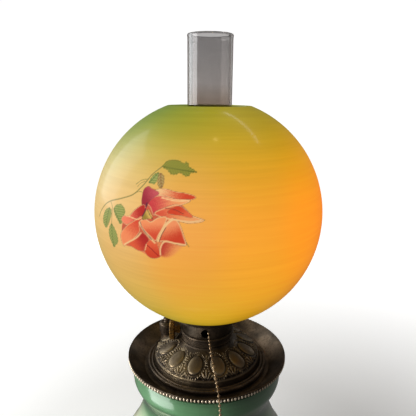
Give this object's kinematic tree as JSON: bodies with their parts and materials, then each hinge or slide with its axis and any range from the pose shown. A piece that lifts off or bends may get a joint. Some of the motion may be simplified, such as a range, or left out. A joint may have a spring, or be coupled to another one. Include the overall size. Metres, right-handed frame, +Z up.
{
  "type": "oil lamp",
  "caption": "Parlour oil lamp, electrified: painted ball shade, glass chimney, embossed drop-in font and burner with wick raiser, beaded bowl, waisted glass vase, cast foot, pull chain.",
  "frame": {"origin": "on the floor under the middle of the foot", "axes": "+Z up along the lamp's axis, front (the chain's side) towards -Y, wick knob towards -X"},
  "size_m": [0.254, 0.254, 0.6329],
  "materials": {
    "aged_brass": "dark aged bronze patina, satin",
    "bead_brass": "rubbed bright on a dark patina",
    "knob_brass": "worn golden brass",
    "plain_brass": "plain turned brass",
    "steel": "zinc plated",
    "nickel": "nickel plated",
    "painted_opal": "opal glass, fired green fading to cream",
    "painted_ball": "opal glass, fired green, yellow and orange tints",
    "clear_glass": "clear, slightly smoky",
    "frosted_glass": "frosted",
    "filament": "lit strip",
    "felt": "pressed felt",
    "cork": "cork composition",
    "plaster": "set plaster",
    "fibre_card": "waxed card",
    "black_plastic": "moulded phenolic",
    "cotton": "woven tubular wick"
  },
  "bodies": {
    "base": {"foot_casting": "aged_brass", "foot_pads": "felt", "vase_cup": "aged_brass", "vase_gasket": "cork", "vase": "painted_opal", "inner_gasket": "cork", "clamp_washer": "plain_brass", "clamp_nut_lower": "plain_brass", "clamp_nut_upper": "plain_brass", "clamp_tube": "plain_brass", "lead_bushing": "black_plastic", "cement_ring": "plaster", "bowl": "aged_brass", "bead_border": "bead_brass"},
    "font": {"font_tank": "plain_brass", "font_ring": "aged_brass", "font_top": "aged_brass", "font_collar": "plain_brass", "draft_tube": "plain_brass", "filler_tube": "aged_brass", "burner_base": "aged_brass", "burner_drum": "aged_brass", "shade_ring": "aged_brass", "gallery": "aged_brass", "gallery_screws": "plain_brass", "wick_tube": "plain_brass", "spindle_gland": "plain_brass", "nipple_plug": "steel", "plug_nut": "steel", "lamp_nipple": "steel", "socket_cap": "plain_brass", "socket_shell": "plain_brass", "socket_liner": "fibre_card", "switch_block": "black_plastic", "screw_shell": "plain_brass", "centre_contact": "plain_brass"},
    "filler_cap": {"filler_cap": "aged_brass", "cap_gasket": "cork"},
    "wick": {"wick": "cotton", "wick_carrier": "plain_brass"},
    "raiser": {"raiser_gear": "plain_brass", "raiser_spindle": "plain_brass", "raiser_knob": "knob_brass", "knob_screw": "plain_brass"},
    "rotor": {"switch_rotor": "plain_brass"},
    "bulb": {"bulb_base": "nickel", "bulb_glass": "frosted_glass", "filament_mount": "filament"},
    "chimney": {"chimney": "clear_glass"},
    "shade": {"ball_shade": "painted_ball"},
    "pull": {"pull_chain": "bead_brass", "chain_bell": "knob_brass"}
  },
  "joints": [
    {"name": "font_lift", "type": "slide", "parent": "base", "child": "font", "axis": [0, 0, 1], "range_m": [0, 0.09]},
    {"name": "cap_lift", "type": "slide", "parent": "font", "child": "filler_cap", "axis": [0, 0, 1], "range_m": [0, 0.015]},
    {"name": "knob_turn", "type": "hinge", "parent": "font", "child": "raiser", "pos_m": [-0.03, 0, 0.291], "axis": [-1, 0, 0], "range_deg": [-238, 0]},
    {"name": "wick_slide", "type": "slide", "parent": "font", "child": "wick", "axis": [0, 0, 1], "range_m": [-0.02, 0]},
    {"name": "chain_pull", "type": "slide", "parent": "font", "child": "pull", "axis": [0.1137, -0.8447, -0.5231], "range_m": [0, 0.006], "stiffness_N_per_m": 150, "springref_m": -0.004},
    {"name": "rotor_turn", "type": "hinge", "parent": "font", "child": "rotor", "pos_m": [0, 0, 0.305], "axis": [0, 0, 1], "range_deg": [0, 90]},
    {"name": "bulb_lift", "type": "slide", "parent": "font", "child": "bulb", "axis": [0, 0, 1], "range_m": [0, 0.024]},
    {"name": "chimney_lift", "type": "slide", "parent": "font", "child": "chimney", "axis": [0, 0, 1], "range_m": [0, 0.1]},
    {"name": "shade_lift", "type": "slide", "parent": "font", "child": "shade", "axis": [0, 0, 1], "range_m": [0, 0.06]}
  ],
  "couplings": [
    {"joint": "wick_slide", "follows": "knob_turn", "m_per_rad": 0.0048},
    {"joint": "rotor_turn", "follows": "chain_pull", "rad_per_m": 260}
  ]
}
